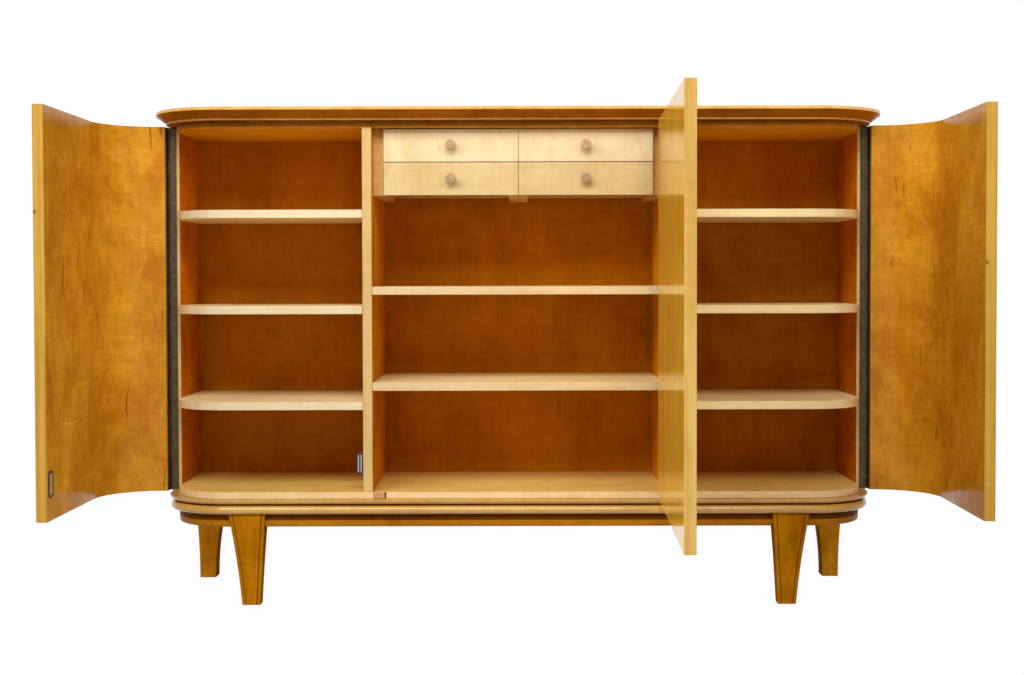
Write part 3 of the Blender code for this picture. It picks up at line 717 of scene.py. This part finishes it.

# Carcass top: the same board as the bottom one, hidden under the top board but for its
# front edge, which the closed doors cover and which is coloured darker as painted shade under the top board.
# Painted shade: the front edge's finish is darker than the board's own tone, for the top board's shadow over
# it.
carcass_edge_painted_shade = birch(
    "carcass_top_edge_painted_shade", srgb(174, 108, 23), srgb(138, 79, 10),
    along="X", clouds=0.5, ripple=0.2, lines=0.3, flecks=0.1, rough=0.45, shine=0.1,
)
ceiling_birch = birch(
    "ceiling_birch", srgb(238, 172, 35), srgb(206, 132, 12),
    along="X", clouds=0.4, ripple=0.2, lines=0.4, flecks=0.2, rough=0.45, shine=0.1,
)
low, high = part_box("carcass_top")
shape = round_corners(low, high, CORNER_RADIUS)
raise_faces(shape, high.z - low.z, list(shape.faces))
soften(shape, BOARD_EASE)
mark_edges(shape)
piece("ceiling_board", shape, [ceiling_birch, carcass_edge_painted_shade], "carcass", ["carcass_top"])

# Shelves: birch-veneered boards with a pale lipping on the front edge; those of the end
# bays have the corner rounded to follow the door. They drop over their pins and lift out.
SHELF_COUNTS = {"left": 3, "centre": 2, "right": 3}
shelf_birch = birch(
    "shelf_birch", srgb(255, 238, 184), srgb(247, 216, 150),
    along="X", clouds=0.4, ripple=0.3, lines=0.3, flecks=0.15, rough=0.36, shine=0.15,
)
# Painted light: one lipping in three tones, one per bay, paler where less lamp light reaches, the right bay
# most.
lipping_painted_light_by_bay = {
    "left": birch("left_lipping_painted_light", srgb(234, 217, 180), srgb(218, 197, 152), along="X", shine=0.12),
    "centre": birch("centre_lipping_painted_light", srgb(230, 206, 158), srgb(212, 184, 132), along="X", shine=0.12),
    "right": birch("right_lipping_painted_light", srgb(250, 232, 176), srgb(239, 212, 146), along="X", shine=0.12),
}
for bay, count in SHELF_COUNTS.items():
    for number in range(1, count + 1):
        node = f"shelf_{bay}_{number}"
        low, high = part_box(node)
        shape = round_corners(low, high, CORNER_RADIUS, bay == "left", bay == "right")
        raise_faces(shape, high.z - low.z, list(shape.faces))
        soften(shape, BOARD_EASE)
        mark_edges(shape)
        finishes = [shelf_birch, lipping_painted_light_by_bay[bay]]
        piece(f"{bay}_shelf_{number}", shape, finishes, "carcass", [node])

# Drawer guides: plain birch boards hung from the carcass top, one against each divider and
# one in the middle, each with strips that the drawers' grooved sides run on.
GUIDE_EASE = 0.0005
box_birch = birch(
    "box_birch", srgb(226, 184, 116), srgb(204, 154, 82),
    along="Y", clouds=0.5, ripple=0.2, lines=0.4, flecks=0.2, rough=0.55, shine=0.15,
)
for place in ("left", "centre", "right"):
    node = f"drawer_guide_{place}"
    shape = solid_copy(node)
    soften(shape, GUIDE_EASE, steps=1)
    piece(f"{place}_guide", shape, [box_birch], "carcass", [node])

# Drawers: a pale birch front with its grain standing upright, a glued box with a plywood
# bottom in a groove, and a turned knob doweled into the front with its end grain showing.
FRONT_EASE = 0.0007
KNOB_RADIUS = 0.0108
KNOB_LENGTH = 0.019
KNOB_CHAMFER = 0.0018
KNOB_STEPS = 36
KNOB_PROFILE = (
    (0.0, 0.0),
    (0.0, 0.0075),
    (0.0018, 0.0066),
    (0.0040, 0.0060),
    (0.0070, 0.0066),
    (KNOB_LENGTH / 2, KNOB_RADIUS - KNOB_CHAMFER),
    (KNOB_LENGTH / 2 + KNOB_CHAMFER, KNOB_RADIUS),
    (KNOB_LENGTH - KNOB_CHAMFER, KNOB_RADIUS),
    (KNOB_LENGTH - KNOB_CHAMFER / 3, KNOB_RADIUS - KNOB_CHAMFER / 3),
    (KNOB_LENGTH, KNOB_RADIUS - KNOB_CHAMFER),
    (KNOB_LENGTH, 0.0),
)
# Painted light: the upper drawers' fronts are a paler copy of the lower ones', to offset the shade the top
# board casts on them.
drawer_birch = {
    "upper": birch(
        "upper_drawer_painted_light", srgb(229, 213, 173), srgb(215, 188, 136),
        clouds=0.6, ripple=0.2, lines=0.2, flecks=0.12, rough=0.4, shine=0.12,
    ),
    "lower": birch(
        "lower_drawer_birch", srgb(216, 194, 142), srgb(201, 170, 111),
        clouds=0.6, ripple=0.2, lines=0.2, flecks=0.12, rough=0.4, shine=0.12,
    ),
}
knob_birch = birch(
    "knob_birch", srgb(192, 158, 122), srgb(148, 118, 86),
    along="Y", clouds=0.3, ripple=0.1, lines=0.8, flecks=0.3, rough=0.55, shine=0.1,
)


def turned_knob(middle, seat_y):
    """A knob turned about Y, its foot on the drawer front."""
    shape = bmesh.new()
    verts = []
    for along, radius in KNOB_PROFILE:
        verts.append(shape.verts.new((middle.x + radius, seat_y - along, middle.z)))
    edges = [shape.edges.new(pair) for pair in zip(verts, verts[1:])]
    bmesh.ops.spin(
        shape, geom=verts + edges, cent=(middle.x, 0.0, middle.z), axis=(0.0, 1.0, 0.0),
        angle=math.tau, steps=KNOB_STEPS, use_merge=True,
    )
    return shape


for tier in ("lower", "upper"):
    for label, _ in sides:
        name = f"drawer_{tier}_{label}"
        low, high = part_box(f"{name}_front")
        shape = box_shape(low, high)
        soften(shape, FRONT_EASE)
        piece(f"{name}_face", shape, [drawer_birch[tier]], name, [f"{name}_front"])
        for part in ("box", "bottom"):
            shape = solid_copy(f"{name}_{part}")
            soften(shape, GUIDE_EASE, steps=1)
            piece(f"{name}_{part}_sanded", shape, [box_birch], name, [f"{name}_{part}"])
        knob_low, knob_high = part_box(f"{name}_knob")
        shape = turned_knob((knob_low + knob_high) / 2, low.y - FIT_GAP)
        piece(f"{name}_pull", shape, [knob_birch], name, [f"{name}_knob"])

# Doors: laminated birch panels with pale edges, the end ones bent round the carcass corner
# right up to the hinge, all lacquered to a gloss that mirrors the floor and the shelves.
DOOR_THICK = 0.0215
DOOR_CLEAR = 0.0008
DOOR_EASE = 0.0009
END_DOOR_FREE = 0.3241
MIDDLE_DOOR_FREE = -0.3211
LEAF_SEAT = 0.0015
BEND_STEPS = 40
# A knot in each end door's edge: how far through the thickness it lies, and its height
EDGE_KNOTS = {"left": (0.85, 0.828), "right": (0.12, 0.727)}
door_birch = birch(
    "door_birch", srgb(218, 156, 40), srgb(184, 116, 14),
    clouds=0.75, ripple=0.25, lines=0.12, flecks=0.8, rough=0.10, shine=0.12, curl=0.55,
)
# Painted light: the middle door's inner face is a paler, yellower copy of the door birch, making up for lamp
# light that face lacks.
middle_door_painted_light = birch(
    "middle_door_painted_light", srgb(255, 208, 72), srgb(248, 180, 44),
    clouds=0.6, ripple=0.15, lines=0.12, flecks=0.3, rough=0.10, shine=0.12,
)
middle_edge = birch(
    "middle_edge", srgb(208, 172, 98), srgb(188, 146, 70),
    clouds=0.3, ripple=0.1, lines=0.8, flecks=0.2, rough=0.34, shine=0.15,
)
joints = {joint["name"]: joint for joint in frame["joints"]}


def door_swing(label):
    """The turn that takes a closed door to where it stands at rest."""
    joint = joints[f"{label}_door_hinge"]
    there = Matrix.Translation(joint["pos_m"])
    turn = Matrix.Rotation(math.radians(-joint["range_deg"][0]), 4, Vector(joint["axis"]))
    return there @ turn @ there.inverted()


def swing_open(shape, label):
    """Turn a closed door's shape about its hinge to where the doors stand at rest."""
    bmesh.ops.transform(shape, matrix=door_swing(label), verts=shape.verts)


def bent_door(side, bottom, top, end_y):
    """A closed end door, swept in plan from its hinge end round the corner and then raised."""
    inner_x = board_high.x + DOOR_CLEAR
    corner = (side * (board_high.x - CORNER_RADIUS), board_low.y + CORNER_RADIUS, bottom)
    shape = bmesh.new()
    ends = [(side * x, end_y, bottom) for x in (inner_x, inner_x + DOOR_THICK)]
    edge = shape.edges.new([shape.verts.new(place) for place in ends])
    grown = bmesh.ops.extrude_edge_only(shape, edges=[edge])["geom"]
    verts = only(bmesh.types.BMVert, grown)
    bmesh.ops.translate(shape, vec=(0.0, corner[1] - end_y, 0.0), verts=verts)
    bend = bmesh.ops.spin(
        shape, geom=verts + only(bmesh.types.BMEdge, grown), cent=corner, axis=(0.0, 0.0, 1.0),
        angle=-side * math.pi / 2, steps=BEND_STEPS,
    )
    grown = bmesh.ops.extrude_edge_only(shape, edges=only(bmesh.types.BMEdge, bend["geom_last"]))["geom"]
    verts = only(bmesh.types.BMVert, grown)
    bmesh.ops.translate(shape, vec=(side * END_DOOR_FREE - corner[0], 0.0, 0.0), verts=verts)
    raise_faces(shape, top - bottom, list(shape.faces))
    return shape


for label, side in sides:
    low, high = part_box(f"door_{label}")
    end_y = joints[f"{label}_door_hinge"]["pos_m"][1] - LEAF_SEAT
    shape = bent_door(side, low.z, high.z, end_y)
    for face in shape.faces:
        spot = face.calc_center_median()
        at_end = abs(spot.x - side * END_DOOR_FREE) < HAIR or abs(spot.y - end_y) < HAIR
        face.material_index = 1 if at_end or abs(face.normal.z) > FACING else 0
    soften(shape, DOOR_EASE, least_angle=50.0)
    swing_open(shape, label)
    knot_share, knot_z = EDGE_KNOTS[label]
    knot_y = board_low.y - DOOR_CLEAR - DOOR_THICK * knot_share
    knot = door_swing(label) @ Vector((side * END_DOOR_FREE, knot_y, knot_z))
    door_edge = birch(
        f"{label}_door_edge", srgb(194, 152, 66), srgb(172, 127, 44),
        clouds=0.3, ripple=0.1, lines=0.8, flecks=0.2, rough=0.34, shine=0.15, knot=knot,
    )
    finishes = [door_birch, door_edge]
    piece(f"{label}_door_panel", shape, finishes, f"{label}_door", [f"door_{label}"])

low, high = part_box("door_middle")
inner_y = board_low.y - DOOR_CLEAR
hinge_end = joints["middle_door_hinge"]["pos_m"][0] - LEAF_SEAT
near = Vector((MIDDLE_DOOR_FREE, inner_y - DOOR_THICK, low.z))
far = Vector((hinge_end, inner_y, high.z))
shape = box_shape(near, far)
for face in shape.faces:
    if face.normal.y < FACING:
        face.material_index = 2 if face.normal.y < -FACING else 1
soften(shape, DOOR_EASE)
swing_open(shape, "middle")
finishes = [middle_door_painted_light, middle_edge, door_birch]
piece("middle_door_panel", shape, finishes, "middle_door", ["door_middle"])

# Piano hinges: rolled steel leaves the full height of the doors, dulled to a grey brown,
# screwed to the sides and to the doors' ends; the middle one's fixed leaf is let into the
# divider.
LEAF_SCREWS = 12
LEAF_SCREW_RADIUS = 0.0026
LEAF_SCREW_PLACE = 0.0105
LEAF_CREASE = 50.0
HEAD_SEAT = 0.00045
ROOT_BACK = 0.0027
ROOT_THICK = 0.0006
ROOT_REACH = 0.0034
hinge_steel = plain_finish(
    "hinge_steel", srgb(92, 80, 60), srgb(78, 66, 46), scale=120.0, rough=0.5, metal=1.0,
)
for label in ("left", "right", "middle"):
    for part, body in (("carcass_leaf", "carcass"), ("door_leaf", f"{label}_door"), ("pin", "carcass")):
        node = f"hinge_{label}_{part}"
        name = f"{label}_hinge_{part}"
        piece(name, solid_copy(node), [hinge_steel], body, [node], crease=LEAF_CREASE)


def screw_column(x, y, low, high):
    """Places for a column of screws, evenly spaced between two levels."""
    pitch = (high - low) / LEAF_SCREWS
    return [(x, y, low + pitch * (step + 0.5)) for step in range(LEAF_SCREWS)]


# A strip behind each barrel is where the fixed leaf bends, and it closes the slit there
for label, side in sides:
    axis = joints[f"{label}_door_hinge"]["pos_m"]
    low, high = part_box(f"hinge_{label}_carcass_leaf")
    root_ends = sorted((axis[0], axis[0] - side * ROOT_REACH))
    root_low = Vector((root_ends[0], axis[1] + ROOT_BACK, low.z))
    root_high = Vector((root_ends[1], axis[1] + ROOT_BACK + ROOT_THICK, high.z))
    piece(f"{label}_hinge_root", box_shape(root_low, root_high), [hinge_steel], "carcass")
    x = axis[0] - side * LEAF_SCREW_PLACE
    places = screw_column(x, axis[1] + HEAD_SEAT, low.z, high.z)
    shape = bmesh.new()
    set_screws(shape, LEAF_SCREW_RADIUS, places, (0.0, -1.0, 0.0))
    piece(f"{label}_hinge_side_screws", shape, [screw_steel], "carcass")
    places = screw_column(x, axis[1] - HEAD_SEAT, low.z, high.z)
    shape = bmesh.new()
    set_screws(shape, LEAF_SCREW_RADIUS, places, (0.0, 1.0, 0.0))
    swing_open(shape, label)
    piece(f"{label}_hinge_door_screws", shape, [screw_steel], f"{label}_door")

# Magnetic catch: a brown moulded case screwed to the left divider with two bright pole
# plates, and a strike plate in a brown frame on the left door.
STRIKE_FRAME = 0.0055
STRIKE_SINK = 0.0003
CATCH_EASE = 0.0008
CATCH_SMALL_FACE = 3e-5
POLE_EASE = 0.0003
catch_brown = plain_finish("catch_brown", srgb(66, 34, 28), srgb(48, 22, 18), scale=400.0, rough=0.34)
pole_steel = plain_finish(
    "pole_steel", srgb(206, 204, 196), srgb(176, 172, 160), scale=500.0, rough=0.3, metal=1.0,
)
strike_steel = plain_finish(
    "strike_steel", srgb(196, 186, 170), srgb(170, 160, 142), scale=300.0, rough=0.45, metal=0.3,
)
shape = solid_copy("catch_case")
soften(shape, CATCH_EASE, least_area=CATCH_SMALL_FACE)
piece("catch_housing", shape, [catch_brown], "carcass", ["catch_case"])
for number in (1, 2):
    node = f"catch_pole_{number}"
    shape = solid_copy(node)
    soften(shape, POLE_EASE)
    piece(f"catch_plate_{number}", shape, [pole_steel], "carcass", [node])
shape = solid_copy("catch_strike")
plate = max((face for face in shape.faces if face.normal.x > FACING), key=lambda face: face.calc_area())
bmesh.ops.inset_region(shape, faces=[plate], thickness=STRIKE_FRAME, depth=0.0, use_even_offset=True)
bmesh.ops.inset_region(shape, faces=[plate], thickness=0.0, depth=-STRIKE_SINK)
plate.material_index = 1
piece("strike_plate", shape, [catch_brown, strike_steel], "left_door", ["catch_strike"])

# Top board: a thick birch board with rounded front corners. Its edge has a narrow lip, a
# wide bevel that falls inwards, and a small fillet over the doors.
TOP_RADIUS = 0.1643
LIP_HEIGHT = 0.0070
LIP_EASE = 0.0014
LIP_STEPS = 3
BEVEL_INSET = 0.0195
FILLET_INSET = 0.0025
FILLET_HEIGHT = 0.0045
top_birch = birch(
    "top_birch", srgb(228, 184, 104), srgb(200, 146, 66),
    along="X", clouds=0.6, ripple=0.4, lines=0.3, flecks=0.3, rough=0.22, shine=0.3,
)
table_birch = birch(
    "table_birch", srgb(224, 166, 62), srgb(194, 130, 30),
    along="X", clouds=0.6, ripple=0.4, lines=0.3, flecks=0.3, rough=0.22, shine=0.3,
)
bevel_birch = birch(
    "bevel_birch", srgb(176, 102, 8), srgb(136, 70, 2),
    along="X", clouds=0.7, ripple=0.1, lines=0.3, flecks=0.1, rough=0.3, shine=0.07,
)
fillet_birch = birch("fillet_birch", srgb(190, 126, 48), srgb(154, 94, 26), along="X", rough=0.3, shine=0.2)
low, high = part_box("top_board")
shape = round_corners(Vector((low.x, low.y, high.z - LIP_HEIGHT)), high, TOP_RADIUS)
raise_faces(shape, LIP_HEIGHT, list(shape.faces))
under = min(shape.faces, key=lambda face: face.normal.z * face.calc_area())
bevel_drop = high.z - low.z - LIP_HEIGHT - FILLET_HEIGHT
for inset, drop in ((BEVEL_INSET, bevel_drop), (FILLET_INSET, 0.0), (0.0, FILLET_HEIGHT)):
    bmesh.ops.inset_region(shape, faces=[under], thickness=inset, depth=drop, use_even_offset=True)
    for vert in under.verts:
        if vert.co.y > high.y - inset - HAIR:
            vert.co.y = high.y
for face in shape.faces:
    spot = face.calc_center_median()
    if spot.z < high.z - LIP_HEIGHT and spot.y < high.y - HAIR:
        face.material_index = 1 if spot.z > low.z + FILLET_HEIGHT + HAIR else 2
    if spot.z > high.z - HAIR:
        face.material_index = 3
lip_rims = []
for edge in shape.edges:
    heights = [vert.co.z for vert in edge.verts]
    if abs(heights[0] - heights[1]) < HAIR and heights[0] > high.z - LIP_HEIGHT - HAIR:
        lip_rims.append(edge)
bmesh.ops.bevel(
    shape, geom=lip_rims, offset=LIP_EASE, offset_type="OFFSET", segments=LIP_STEPS, profile=0.5,
    affect="EDGES", material=-1,
)
finishes = [top_birch, bevel_birch, fillet_birch, table_birch]
piece("top_panel", shape, finishes, "carcass", ["top_board"])
